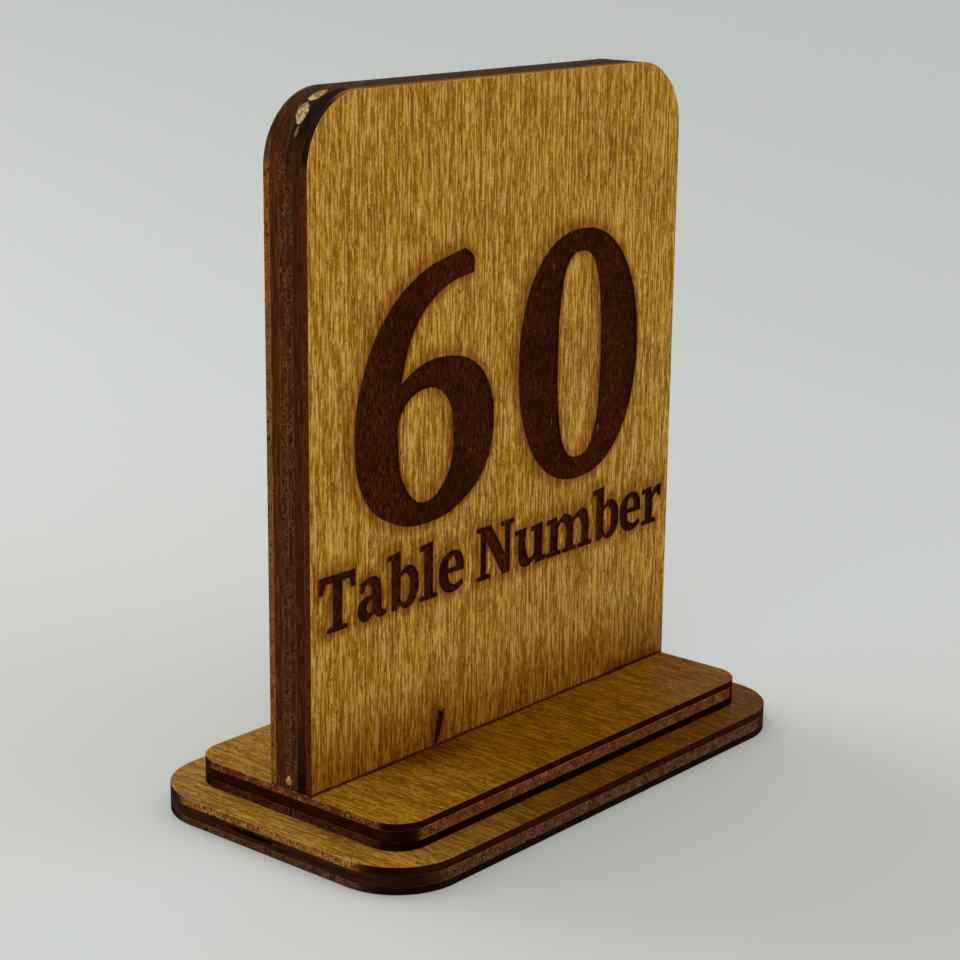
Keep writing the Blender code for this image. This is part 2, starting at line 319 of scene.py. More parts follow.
def triangles(loops, inner_points):
    """Triangles that fill the loops and leave the loops inside them open.

    Returns each point with its number among the loops' points, or None, and the triangles."""
    flat = [Vector(point) for loop in loops for point in loop]
    sides = []
    start = 0
    for loop in loops:
        count = len(loop)
        sides += [(start + index, start + (index + 1) % count) for index in range(count)]
        start += count
    flat += [Vector(point) for point in inner_points]
    places, _, faces, origins = geometry.delaunay_2d_cdt(flat, sides, [], 0, 1e-9, True)[:4]
    numbers = [next((number for number in origin if number < start), None) for origin in origins]
    walls = {frozenset(side) for side in sides}
    beside = {}
    for index, face in enumerate(faces):
        for side in zip(face, (*face[1:], face[0])):
            beside.setdefault(frozenset(side), []).append(index)
    is_wall = {side: frozenset(numbers[corner] for corner in side) in walls for side in beside}
    filled = {}
    queue = []
    for side, neighbours in beside.items():
        if len(neighbours) == 1 and neighbours[0] not in filled:
            filled[neighbours[0]] = is_wall[side]
            queue.append(neighbours[0])
    while queue:
        index = queue.pop()
        face = faces[index]
        for side in zip(face, (*face[1:], face[0])):
            side = frozenset(side)
            for other in beside[side]:
                if other not in filled:
                    filled[other] = filled[index] != is_wall[side]
                    queue.append(other)
    return list(zip(places, numbers)), [face for index, face in enumerate(faces) if filled[index]]


def nearest(loops):
    """A tree of the loops' points, for distances."""
    total = sum(len(loop) for loop in loops)
    tree = kdtree.KDTree(total)
    index = 0
    for loop in loops:
        for point in loop:
            tree.insert((point[0], point[1], 0), index)
            index += 1
    tree.balance()
    return tree


def grid_points(low, high, trees):
    """Grid points for a cap: fine near the loops, coarse elsewhere, and none right beside them."""
    points = []
    ratio = round(COARSE_GRID / FINE_GRID)
    columns = math.ceil((high[0] - low[0]) / FINE_GRID)
    rows = math.ceil((high[1] - low[1]) / FINE_GRID)
    for row in range(1, rows):
        for column in range(1, columns):
            shift = FINE_GRID / 2 if row % 2 else 0.0
            x = low[0] + column * FINE_GRID + shift
            y = low[1] + row * FINE_GRID
            gap = min(tree.find((x, y, 0))[2] for tree in trees)
            is_coarse = row % ratio == 0 and column % ratio == 0
            if KEEP_CLEAR < gap < FINE_REACH or (is_coarse and gap >= FINE_REACH):
                points.append((x, y))
    return points


def smoke_share(spot, tree):
    """How far a point is from the engraving, as a share of how far its smoke was blown that way."""
    rim, _, gap = tree.find(spot)
    leftward = (rim[0] - spot[0]) / max(gap, TINY)
    upward = (spot[1] - rim[1]) / max(gap, TINY)
    return gap / (SMOKE_REACH + SMOKE_LEFTWARD * leftward + SMOKE_UPWARD * upward)


def add_cap(body, rings, loops, w, slot, inner_points=(), trees=(None, None), lift=None):
    """A cap at height w on rings that the body already has. loops are the rings' flat places, trees
    tell how far a point is from the outline and from the engraving, and lift raises inner points."""
    numbers = [number for ring in rings for number in ring]
    named, faces = triangles(loops, inner_points)
    own = {}
    for face in faces:
        corners = []
        for corner in face:
            place, on_loop = named[corner]
            if on_loop is not None:
                corners.append(numbers[on_loop])
                continue
            if corner not in own:
                spot = (place[0], place[1], 0)
                outline_gap = trees[0].find(spot)[2] if trees[0] else FAR
                smoke = smoke_share(spot, trees[1]) if trees[1] else FAR_SHARE
                height = w + (lift(*place) if lift else 0.0)
                own[corner] = body.add_point(*place, height, outline_gap=outline_gap, smoke=smoke)
            corners.append(own[corner])
        body.add_face(tuple(corners), slot)


# ---------------------------------------------------------------- the laser's edge

SCALLOP_PITCH = 0.45 * MM
SCALLOP_DEPTH = 0.035 * MM
CHAR_PITCH = 0.22 * MM
CHAR_DEPTH = 0.025 * MM
TEAR_LENGTH = 1.3 * MM
TEAR_WIDTH = 0.3 * MM
TEAR_DEPTH = 0.05 * MM
RELIEF_LENGTH = 2.2 * MM
RELIEF_WIDTH = 0.5 * MM
RELIEF_DEPTH = 0.06 * MM


def wave(u, v, w, along, across, seed):
    """Smooth noise from 0 to 1, with features along long in the sheet's plane and across thick."""
    return 0.5 + 0.5 * noise.noise(Vector((u / along, v / along, w / across + seed)))


def eaten(u, v, w, grain, seed):
    """How deep the laser has bitten at a point of an edge. grain is 1 on end grain."""
    scallop = wave(u, v, w, SCALLOP_PITCH, 3 * SCALLOP_PITCH, seed) * SCALLOP_DEPTH
    char = wave(u, v, w, CHAR_PITCH, CHAR_PITCH, seed + 31) * CHAR_DEPTH
    tear = wave(u, v, w, TEAR_LENGTH, TEAR_WIDTH, seed + 57) ** 2 * TEAR_DEPTH * (1 - grain)
    return scallop + char + tear


def rows_between(low, high):
    """Heights of an edge's rows, with how far each stands in, so that both arrises are rounded off."""
    steps = max(2, round((high - low - 2 * ARRIS) / ROW_STEP))
    inner = [(height, 0.0) for height in np.linspace(low + ARRIS, high - ARRIS, steps + 1)]
    return [(low, ARRIS), *inner, (high, ARRIS)]


def add_edge(body, points, normals, low, high, fibre, seed, damage=None):
    """A ply's edge along one loop. damage gives a point's bareness and depth. Returns the edge's
    lowest and highest rings with their flat places."""
    rings = []
    places = []
    grains = np.abs(normals @ np.array(fibre))
    for w, inset in rows_between(low, high):
        level = (w - low) / (high - low)
        ring = []
        flat = []
        for (u, v), (nu, nv), grain in zip(points, normals, grains):
            raw, bite = damage(u, v, w) if damage else (0.0, 0.0)
            depth = inset + eaten(u, v, w, grain, seed) + bite
            spot = (u - nu * depth, v - nv * depth)
            flat.append(spot)
            ring.append(body.add_point(*spot, w, float(grain), level, 0.0, raw=raw))
        rings.append(ring)
        places.append(np.array(flat))
    for lower, upper in zip(rings, rings[1:]):
        body.add_wall(lower, upper, EDGE)
    return (rings[0], places[0]), (rings[-1], places[-1])


def ply(name, place, shapes, low, high, fibre, seed, materials, shown=(), damage=None):
    """One closed ply. shapes are (points, normals) loops, the outer one first; shown lists the sides
    ('low', 'high') whose face shows."""
    body = Body(place)
    ends = {"low": [], "high": []}
    for points, normals in shapes:
        lowest, highest = add_edge(body, points, normals, low, high, fibre, seed, damage)
        ends["low"].append(lowest)
        ends["high"].append(highest)
    for side, w in (("low", low), ("high", high)):
        rings = [ring for ring, _ in ends[side]]
        loops = [flat for _, flat in ends[side]]
        inner_points = ()
        trees = (None, None)
        if side in shown:
            trees = (nearest(loops), None)
            inner_points = grid_points(loops[0].min(axis=0), loops[0].max(axis=0), trees[:1])
        add_cap(body, rings, loops, w, VENEER, inner_points, trees)
    return body.finish(name, materials)


def engraved_ply(name, place, shape, low, high, fibre, seed, materials, damage=None):
    """The front ply: its low side carries the engraving, burnt in as a shallow recess."""
    body = Body(place)
    lowest, highest = add_edge(body, *shape, low, high, fibre, seed, damage)
    add_cap(body, [highest[0]], [highest[1]], high, VENEER)
    cuts = engraved_loops() + [np.array(points) * MM for points in (SPLIT, GAPING_JOINT)]
    depths = [sum(inside(cut[0], other) for other in cuts if other is not cut) for cut in cuts]
    rims = []
    rim_places = []
    floors = []
    floor_places = []
    for cut, depth in zip(cuts, depths):
        points, normals = resampled(turned(cut, depth % 2 == 0), ENGRAVING_STEP)
        rings = []
        for inset, sunk in ENGRAVED_ROWS:
            flat = points - normals * inset
            rings.append([body.add_point(*spot, low + sunk, smoke=0.0) for spot in flat])
            if sunk == 0:
                rims.append(rings[-1])
                rim_places.append(flat)
        for upper, lower in zip(rings, rings[1:]):
            body.add_wall(upper, lower, BURNT)
        floors.append(rings[-1])
        floor_places.append(flat)
    outline_tree = nearest([lowest[1]])
    engraving_tree = nearest(rim_places)
    trees = (outline_tree, engraving_tree)
    edge_low, edge_high = lowest[1].min(axis=0), lowest[1].max(axis=0)
    inner_points = grid_points(edge_low, edge_high, trees)
    add_cap(body, [lowest[0], *rims], [lowest[1], *rim_places], low, VENEER, inner_points, trees)
    burnt_low = np.min([flat.min(axis=0) for flat in floor_places], axis=0)
    burnt_high = np.max([flat.max(axis=0) for flat in floor_places], axis=0)
    inner_points = grid_points(burnt_low, burnt_high, (nearest(floor_places),))
    sunk = low + ENGRAVED_ROWS[-1][1]
    add_cap(body, floors, floor_places, sunk, BURNT, inner_points, lift=burnt_relief)
    return body.finish(name, materials)


def burnt_relief(u, v):
    """How far the engraving's floor stands off its mean depth, in ridges along the grain."""
    return RELIEF_DEPTH * noise.noise(Vector((u / RELIEF_WIDTH, v / RELIEF_LENGTH, 0.0)))


# ---------------------------------------------------------------- materials


def srgb(red, green, blue):
    """A colour given in 0 to 255 display values, as linear light with an alpha of 1."""
    linear = []
    for value in (red, green, blue):
        share = value / 255
        linear.append(share / 12.92 if share <= 0.04045 else ((share + 0.055) / 1.055) ** 2.4)
    return (*linear, 1.0)


class Shader:
    """A material's node tree, with short calls for the nodes that the woods use."""

    def __init__(self, name):
        self.material = bpy.data.materials.new(name)
        self.material.use_nodes = True
        self.tree = self.material.node_tree
        self.surface = self.tree.nodes["Principled BSDF"]
        self.where = self.node("ShaderNodeTexCoord").outputs["Object"]

    def node(self, kind, inputs=None, **settings):
        made = self.tree.nodes.new(kind)
        for key, value in settings.items():
            setattr(made, key, value)
        for key, value in (inputs or {}).items():
            self.join(value, made.inputs[key])
        return made

    def join(self, value, socket):
        if isinstance(value, bpy.types.NodeSocket):
            self.tree.links.new(value, socket)
        else:
            socket.default_value = value

    def value(self, name):
        return self.node("ShaderNodeAttribute", attribute_name=name).outputs["Fac"]

    def along(self, axis):
        return self.node("ShaderNodeSeparateXYZ", {"Vector": self.where}).outputs[axis]

    def maths(self, operation, first, second=0.0):
        return self.node("ShaderNodeMath", {0: first, 1: second}, operation=operation).outputs[0]

    def product_and_sum(self, value, factor, addend):
        inputs = {0: value, 1: factor, 2: addend}
        return self.node("ShaderNodeVectorMath", inputs, operation="MULTIPLY_ADD").outputs[0]

    def stretched(self, lengths, shift):
        """The place in units of lengths (x, y, z) in millimetres, moved on by shift."""
        scales = [1 / (length * MM) for length in lengths]
        return self.product_and_sum(self.where, scales, [shift, shift * 1.7, shift * 0.6])

    def noise(self, lengths, shift=0.0, detail=2.0, roughness=0.5, distortion=0.0):
        """Noise whose features are lengths (x, y, z) long in millimetres."""
        inputs = {
            "Vector": self.stretched(lengths, shift),
            "Scale": 1.0,
            "Detail": detail,
            "Roughness": roughness,
            "Distortion": distortion,
        }
        return self.node("ShaderNodeTexNoise", inputs).outputs["Fac"]

    def cells(self, lengths, shift, wander):
        """How far a point is from the borders of cells that are lengths (x, y, z) long in
        millimetres."""
        spot = self.stretched(lengths, shift)
        drift = self.node("ShaderNodeTexNoise", {"Vector": spot, "Scale": 1.3, "Detail": 2.0})
        spot = self.product_and_sum(drift.outputs["Color"], [wander] * 3, spot)
        inputs = {"Vector": spot, "Scale": 1.0}
        borders = self.node("ShaderNodeTexVoronoi", inputs, feature="DISTANCE_TO_EDGE")
        return borders.outputs["Distance"]

    def ramp(self, value, low, high, start=0.0, stop=1.0):
        """value's range from low to high, eased, as start to stop."""
        inputs = {"Value": value, 1: low, 2: high, 3: start, 4: stop}
        return self.node("ShaderNodeMapRange", inputs, interpolation_type="SMOOTHSTEP").outputs[0]

    def blend(self, share, first, second, mode="MIX"):
        mix = self.node("ShaderNodeMix", data_type="RGBA", blend_type=mode)
        self.join(share, mix.inputs["Factor"])
        self.join(first, mix.inputs[6])
        self.join(second, mix.inputs[7])
        return mix.outputs[2]

    def contour(self, value, middle, reach, start=0.0):
        """1 where value is at middle, falling to 0 at reach from it; the other way round past start."""
        gap = self.maths("ABSOLUTE", self.maths("SUBTRACT", value, middle))
        if start:
            return self.ramp(gap, start, reach)
        return self.ramp(gap, 0.0, reach, 1.0, 0.0)

    def bump(self, height, distance):
        inputs = {"Height": height, "Distance": distance, "Strength": 1.0}
        return self.node("ShaderNodeBump", inputs).outputs["Normal"]

    def finish(self, colour, roughness, normal, specular):
        self.join(colour, self.surface.inputs["Base Color"])
        self.join(roughness, self.surface.inputs["Roughness"])
        self.join(normal, self.surface.inputs["Normal"])
        self.surface.inputs["Specular IOR Level"].default_value = specular
        return self.material


# Linear tints: the stain browned by the engraving's smoke, and painted shade: in the corner above
# the foot line, on the upper and on the lower plate in front of the sign, and beside the sign's foot
SMOKED = (0.6, 0.43, 0.1, 1.0)
PAINTED_FOOT_SHADE = (0.6, 0.43, 0.17, 1.0)
SHADED = (0.68, 0.56, 0.14, 1.0)
LOWER_SHADED = (0.44, 0.3, 0.05, 1.0)
PAINTED_BESIDE_FOOT_SHADE = (0.5, 0.28, 0.15, 1.0)

# Where they fade: heights above the foot line, and places along and across the plates
PAINTED_FOOT_SHADE_HEIGHTS = (1 * MM, 14 * MM)
FOOT_LINE_HEIGHTS = (0.05 * MM, 0.4 * MM)
BLACKENED_HEIGHTS = (1 * MM, 12 * MM)
UPPER_FADE = (-32 * MM, -8 * MM)
LOWER_FADE = (-42 * MM, -2 * MM)
SIGN_FADE = (-3 * MM, 3 * MM)
BESIDE_FOOT_SHADE_ACROSS = (-11 * MM, -4.5 * MM)
BESIDE_FOOT_SHADE_MIDDLE = -17 * MM
BESIDE_FOOT_SHADE_REACH = 15 * MM


def heights_above(foot, heights):
    return [foot + height for height in heights]


def veneer(name, fibre, tones, shift, reach, gloss, foot=None, shade=None, fade=None):
    """Stained birch under a thin varnish: pale and dark lines along the fibres, clouds and pores.

    tones are the (ground, deep, pale, dark, pore) colours, reach scales how long the lines are, and
    gloss is the varnish's specular level. A sheet has a foot, the height of its foot line, above which
    painted shade darkens the corner where the sign stands on the plate. A plate has a shade, the tint
    of the painted shade in front of the sign, which comes in along fade, and more painted shade lies
    beside the sign's foot."""
    shader = Shader(name)
    ground, deep, pale, dark, pore = [srgb(*tone) for tone in tones]

    def fibres(across, along, offset, detail=2.0, distortion=0.0):
        lengths = [along * reach if axis == fibre else across for axis in "XYZ"]
        return shader.noise(lengths, shift + offset, detail, 0.55, distortion)

    def scaled(value, factor):
        return shader.maths("MULTIPLY", value, factor)

    clouds = shader.ramp(fibres(5.0, 16.0, 0.0, 3.0, 0.6), 0.38, 0.62)
    colour = shader.blend(clouds, ground, deep)
    lines = fibres(0.36, 9.0, 11.0, 1.0, 0.2)
    dashes = fibres(0.33, 1.9, 5.0, 2.0, 0.3)
    tone = shader.maths("ADD", scaled(lines, 0.5), scaled(dashes, 0.5))
    light = shader.ramp(tone, 0.49, 0.595)
    brown = shader.ramp(tone, 0.405, 0.5, 1.0, 0.0)
    colour = shader.blend(scaled(light, 0.95), colour, pale)
    colour = shader.blend(scaled(brown, 0.9), colour, dark)
    threads = shader.contour(fibres(1.5, 19.0, 29.0, 1.0, 0.4), 0.5, 0.025)
    colour = shader.blend(scaled(threads, 0.5), colour, pore)
    zone = shader.ramp(fibres(3.0, 9.0, 23.0, 1.0), 0.4, 0.62, 0.25, 1.0)
    pores = shader.maths("MULTIPLY", shader.ramp(fibres(0.36, 1.3, 17.0, 1.0), 0.6, 0.7), zone)
    colour = shader.blend(scaled(pores, 0.75), colour, pore)
    speckle = shader.noise((0.4, 0.4, 0.4), shift + 43, 2.0, 0.7)
    colour = shader.blend(shader.ramp(speckle, 0.3, 0.5, 0.35, 0.0), colour, dark)
    colour = shader.blend(shader.ramp(speckle, 0.55, 0.7, 0.0, 0.5), colour, pale)

    # A painted highlight: a thin pale line along the outline, where the arris catches the light
    rim = shader.ramp(shader.value("outline_mm"), 0.0, 0.15, 0.5, 0.0)
    colour = shader.blend(rim, colour, pale)
    patches = shader.ramp(shader.noise((1.6, 6.0, 2.4), shift + 40, 2.0), 0.3, 0.75, 0.75, 1.0)
    gap = shader.value("smoke_share")
    smoke = shader.maths("MULTIPLY", shader.ramp(gap, 0.2, 1.05, 1.0, 0.0), patches)
    colour = shader.blend(smoke, colour, SMOKED, "MULTIPLY")
    soot = shader.ramp(gap, 0.0, 0.14, 0.4, 0.0)
    colour = shader.blend(soot, colour, srgb(70, 34, 8))
    if foot is not None:
        # Painted shade: the face darkens above the foot line, in the corner where the sign stands on the
        # plate
        height = shader.along("Z")
        foot_shade = shader.ramp(height, *heights_above(foot, PAINTED_FOOT_SHADE_HEIGHTS), 1.0, 0.0)
        colour = shader.blend(foot_shade, colour, PAINTED_FOOT_SHADE, "MULTIPLY")
        wander = shader.noise((3.0, 3.0, 3.0), shift + 51, 3.0)
        height = shader.maths("SUBTRACT", height, scaled(wander, 0.5 * MM))
        line = shader.ramp(height, *heights_above(foot, FOOT_LINE_HEIGHTS), 0.95, 0.0)
        colour = shader.blend(line, colour, srgb(72, 20, 3))
    else:
        # Painted shade on a plate in front of the sign, lighter towards the left where more light falls
        ahead = shader.ramp(shader.along("Y"), *SIGN_FADE, 1.0, 0.0)
        rightward = shader.ramp(shader.along("X"), *fade, 0.1, 1.0)
        colour = shader.blend(shader.maths("MULTIPLY", ahead, rightward), colour, shade, "MULTIPLY")
        # Deeper painted shade on the plate close beside the sign's foot
        run = shader.ramp(shader.along("Y"), *BESIDE_FOOT_SHADE_ACROSS)
        beside_foot = shader.contour(shader.along("X"), BESIDE_FOOT_SHADE_MIDDLE, BESIDE_FOOT_SHADE_REACH)
        run = shader.maths("MULTIPLY", run, beside_foot)
        colour = shader.blend(shader.maths("MULTIPLY", ahead, run), colour, PAINTED_BESIDE_FOOT_SHADE, "MULTIPLY")

    relief = shader.maths("SUBTRACT", scaled(tone, 4.0), shader.maths("ADD", pores, threads))
    normal = shader.bump(relief, 0.035 * MM)
    roughness = shader.ramp(fibres(0.9, 5.0, 33.0, 2.0), 0.3, 0.7, 0.46, 0.6)
    return shader.finish(colour, roughness, normal, specular=gloss)


def scorched_edge(name, thick_axis, along_tones, across_tones, oblique, shift, foot=None):
    """A laser-cut ply's edge. Where the cut runs along the fibres, a net of pale ash lies on a brown
    ground. Across them it is plain char, ribbed along the sheet. Oblique cuts are nearly black.

    Both tones are (dark, pale) colours, and oblique is how black the oblique cuts are. foot is the
    foot line's height where the edge is blackened above it. A sheet that stands, thick along Y, has a
    coarser and fainter net than a plate, and its oblique cuts blacken sooner."""
    shader = Shader(name)

    def edge_noise(along, through, offset, detail=2.0, distortion=0.0):
        lengths = [through if axis == thick_axis else along for axis in "XYZ"]
        return shader.noise(lengths, shift + offset, detail, 0.6, distortion)

    stands = thick_axis == "Y"
    level = shader.value("level")
    across, along, strength = (0.85, 0.4, 0.6) if stands else (0.6, 0.36, 0.8)
    cells = shader.cells([across if axis == thick_axis else along for axis in "XYZ"], shift, 0.6)
    net = shader.ramp(cells, 0.0, 0.15, strength, 0.0)
    zone = shader.ramp(edge_noise(1.8, 1.4, 9.0, 3.0), 0.36, 0.62, 0.1, 1.0)
    ash = shader.maths("MULTIPLY", net, zone)
    borders = shader.contour(level, 0.5, 0.5, 0.4)
    broken = shader.ramp(edge_noise(0.8, 0.8, 5.0, 2.0), 0.4, 0.6, 0.2, 0.9)
    ash = shader.maths("MAXIMUM", ash, shader.maths("MULTIPLY", borders, broken))
    along_cut = shader.blend(ash, srgb(*along_tones[0]), srgb(*along_tones[1]))
    pits = shader.ramp(edge_noise(0.55, 0.7, 15.0, 2.0), 0.56, 0.66, 0.0, 0.85)
    along_cut = shader.blend(pits, along_cut, srgb(*[0.4 * tone for tone in along_tones[0]]))

    ribs = shader.ramp(edge_noise(3.5, 0.3, 21.0, 3.0), 0.42, 0.68)
    across_cut = shader.blend(ribs, srgb(*across_tones[0]), srgb(*across_tones[1]))
    dust = shader.ramp(edge_noise(0.5, 0.4, 27.0, 2.0), 0.7, 0.8, 0.0, 0.4)
    across_cut = shader.blend(dust, across_cut, srgb(*along_tones[1]))

    grain = shader.value("grain")
    colour = shader.blend(shader.ramp(grain, 0.08, 0.55), along_cut, across_cut)
    slope = shader.maths("MULTIPLY", grain, shader.maths("SUBTRACT", 1.0, grain))
    onset, full = (0.01, 0.14) if stands else (0.06, 0.23)
    colour = shader.blend(shader.ramp(slope, onset, full, 0.0, oblique), colour, srgb(24, 8, 3))
    if foot is not None:
        heights = heights_above(foot, BLACKENED_HEIGHTS)
        black = shader.ramp(shader.along("Z"), *heights, 0.9, 0.0)
        colour = shader.blend(black, colour, srgb(22, 6, 1))

    bare = shader.noise((0.9, 0.9, 0.5), shift + 60, 3.0, 0.7)
    splinters = shader.blend(shader.ramp(bare, 0.42, 0.6), srgb(206, 180, 130), srgb(142, 104, 64))
    raw = shader.value("raw")
    colour = shader.blend(shader.ramp(raw, -0.8, -0.2, 1.0, 0.0), colour, srgb(14, 5, 2))
    torn = shader.maths("ADD", raw, shader.maths("MULTIPLY", bare, 0.5))
    colour = shader.blend(shader.ramp(torn, 0.62, 0.8), colour, splinters)

    fine = shader.noise((0.14, 0.14, 0.14), shift + 33, 3.0, 0.6)
    normal = shader.bump(shader.maths("ADD", shader.maths("MULTIPLY", fine, 0.7), ash), 0.025 * MM)
    roughness = shader.ramp(fine, 0.3, 0.7, 0.6, 0.8)
    return shader.finish(colour, roughness, normal, specular=0.02)


def burnt_floor(name):
    """The engraving's burnt ground: dark brown, ribbed along the grain, with a few pale dust specks."""
    shader = Shader(name)
    ribs = shader.noise((0.34, 4.0, 1.0), 3.0, 3.0, 0.7)
    colour = shader.blend(shader.ramp(ribs, 0.38, 0.66), srgb(42, 14, 3), srgb(84, 38, 12))
    clouds = shader.ramp(shader.noise((7.0, 7.0, 7.0), 7.0, 2.0), 0.38, 0.6, 0.0, 0.5)
    colour = shader.blend(clouds, colour, srgb(36, 12, 3))
    dust = shader.ramp(shader.noise((0.28, 4.0, 1.1), 13.0, 2.0), 0.68, 0.76, 0.0, 0.6)
    colour = shader.blend(dust, colour, srgb(150, 112, 80))
    normal = shader.bump(ribs, 0.04 * MM)
    return shader.finish(colour, shader.ramp(ribs, 0.3, 0.7, 0.6, 0.8), normal, specular=0.01)


# Veneers, as (ground, deep, pale, dark, pore)
SIGN_TONES = ((184, 132, 28), (172, 120, 18), (220, 172, 86), (140, 86, 6), (96, 50, 0))
UPPER_TONES = ((160, 109, 16), (150, 100, 11), (194, 143, 42), (130, 83, 8), (94, 54, 4))
LOWER_TONES = ((162, 113, 36), (152, 104, 30), (194, 146, 62), (132, 88, 22), (98, 60, 12))

# Each ply's burnt edge: cut along its fibres (dark, pale), cut across them (dark, pale), and how
# black its oblique cuts are
EDGE_TONES = {
    "front_sheet_face_ply": ((76, 33, 9), (116, 66, 32), (112, 74, 32), (156, 114, 58), 0.95),
    "front_sheet_core_ply": ((80, 42, 18), (118, 80, 50), (55, 26, 9), (82, 44, 18), 0.95),
    "front_sheet_inner_ply": ((64, 30, 11), (134, 86, 60), (52, 26, 11), (84, 52, 30), 0.5),
    "rear_sheet_inner_ply": ((70, 34, 13), (138, 92, 62), (54, 30, 16), (88, 60, 40), 0.3),
    "rear_sheet_core_ply": ((66, 40, 24), (100, 72, 52), (68, 30, 9), (102, 56, 24), 0.3),
    "rear_sheet_face_ply": ((122, 70, 26), (188, 130, 68), (66, 42, 24), (104, 76, 50), 0.4),
    "upper_plate_top_ply": ((92, 42, 16), (194, 126, 76), (40, 6, 0), (56, 12, 2), 0.9),
    "upper_plate_core_ply": ((94, 48, 20), (184, 124, 78), (38, 10, 2), (56, 21, 6), 0.9),
    "upper_plate_bottom_ply": ((58, 23, 8), (126, 80, 50), (20, 1, 0), (30, 4, 0), 0.9),
    "lower_plate_top_ply": ((122, 68, 26), (220, 156, 86), (42, 13, 2), (60, 23, 6), 0.9),
    "lower_plate_core_ply": ((78, 44, 22), (150, 104, 72), (46, 20, 9), (70, 38, 21), 0.6),
    "lower_plate_bottom_ply": ((70, 40, 22), (134, 100, 74), (21, 8, 3), (36, 17, 8), 0.6),
}

# ---------------------------------------------------------------- the sheets


def upright(u, v, w):
    return (u, w, v)


def flat_down(u, v, w):
    return (u, v, w)


def span(node, axis):
    low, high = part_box(node)
    return low[axis], high[axis]


def chipped(u, v, w):
    """The knock on the sign's upper left corner, as (bare wood, depth)."""
    away = np.array((u + half - SIGN_CORNER, v - sign_top + SIGN_CORNER))
    angle = math.degrees(math.atan2(away[1], away[0]))
    if not KNOCK_SPAN[0] < angle < KNOCK_SPAN[1] or np.linalg.norm(away) < 0.8 * SIGN_CORNER:
        return 0.0, 0.0
    wobble = 0.4 * noise.noise(Vector((angle * 0.2, w / (0.6 * MM), 4.0)))
    raw = 0.0
    for middle, across, half_turn, half_width, drift, bareness in KNOCK:
        along = (angle - middle) / half_turn
        beside = (w - across - drift * (angle - middle)) / half_width
        raw = max(raw, min(1.0, 2.2 * (1 - along * along - beside * beside + wobble)) * bareness)
    splinter = 0.5 + 0.5 * noise.noise(Vector((angle * 0.5, w / (0.25 * MM), 8.0)))
    return raw, raw * splinter * SPLINTER_DEPTH


def oval(v, w, middle_v, middle_w, half_width, half_height):
    """1 in the middle of an oval, 0 at its outline and negative outside."""
    return 1 - ((v - middle_v) / half_width) ** 2 - ((w - middle_w) / half_height) ** 2


def glue_specks(u, v, w):
    """Dried glue on the upper plate's left edge, as (bareness, depth)."""
    if u > LEFT_EDGE_REACH - half:
        return 0.0, 0.0
    return GLUE_BARENESS * max(0.0, *(oval(v, w, *spot) for spot in GLUE_SPOTS)), 0.0


def core_void(u, v, w):
    """The gap in the lower plate's core, as (bareness, depth). It is black, so its bareness is
    negative."""
    if u > LEFT_EDGE_REACH + span("lower_plate_core_ply", 0)[0]:
        return 0.0, 0.0
    wobble = 0.5 * noise.noise(Vector((v / (1.2 * MM), w / (0.4 * MM), 2.0)))
    opened = min(1.0, max(0.0, 2 * (oval(v, w, *CORE_VOID) + wobble)))
    return -opened, opened * VOID_DEPTH


def levels_through(nodes, axis):
    """Where a stack of plies starts, where its plies meet, and where it ends. The core plies fill the
    gaps beside them, and two sheets meet midway."""
    spans = [span(node, axis) for node in nodes]
    levels = [spans[0][0]]
    for before, after, (_, gap_low), (gap_high, _) in zip(nodes, nodes[1:], spans, spans[1:]):
        if "core" in before:
            levels.append(gap_high)
        elif "core" in after:
            levels.append(gap_low)
        else:
            levels.append((gap_low + gap_high) / 2)
    return [*levels, spans[-1][1]]


def span_in(levels, index):
    """A ply's low and high side, with half a glue film left at each neighbour."""
    low = levels[index] + (GLUE_FILM / 2 if index else 0.0)
    high = levels[index + 1] - (GLUE_FILM / 2 if index + 2 < len(levels) else 0.0)
    return low, high


# The plies from the front to the back and from the table up
SIGN_NODES = (
    "front_sheet_face_ply",
    "front_sheet_core_ply",
    "front_sheet_inner_ply",
    "rear_sheet_inner_ply",
    "rear_sheet_core_ply",
    "rear_sheet_face_ply",
)
FOOT_NODES = (
    "lower_plate_bottom_ply",
    "lower_plate_core_ply",
    "lower_plate_top_ply",
    "upper_plate_bottom_ply",
    "upper_plate_core_ply",
    "upper_plate_top_ply",
)

# Which sides of a ply show, beside the engraved one, and what has happened to its edge
SHOWN_SIDES = {
    "rear_sheet_face_ply": ("high",),
    "upper_plate_top_ply": ("high",),
    "lower_plate_top_ply": ("high",),
    "lower_plate_bottom_ply": ("low",),
}
DAMAGE = {"upper_plate_top_ply": glue_specks, "lower_plate_core_ply": core_void}

half = span("front_sheet_face_ply", 0)[1]
sign_top = span("front_sheet_face_ply", 2)[1]
foot_top = span("upper_plate_top_ply", 2)[1]
sign_levels = levels_through(SIGN_NODES, 1)
foot_levels = levels_through(FOOT_NODES, 2)
plates_meet = foot_levels[FOOT_NODES.index("upper_plate_bottom_ply")]


def keep(made, node):
    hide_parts(node)
    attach(made, "root")


sign_veneer = veneer("sign_veneer", "Z", SIGN_TONES, 0.0, 1.0, 0.05, foot_top)
upper_shade = {"shade": SHADED, "fade": UPPER_FADE}
lower_shade = {"shade": LOWER_SHADED, "fade": LOWER_FADE}
upper_veneer = veneer("foot_veneer", "Y", UPPER_TONES, 60.0, 0.6, 0.045, **upper_shade)
lower_veneer = veneer("lower_veneer", "Y", LOWER_TONES, 80.0, 0.6, 0.045, **lower_shade)
burnt = burnt_floor("engraved_burn")


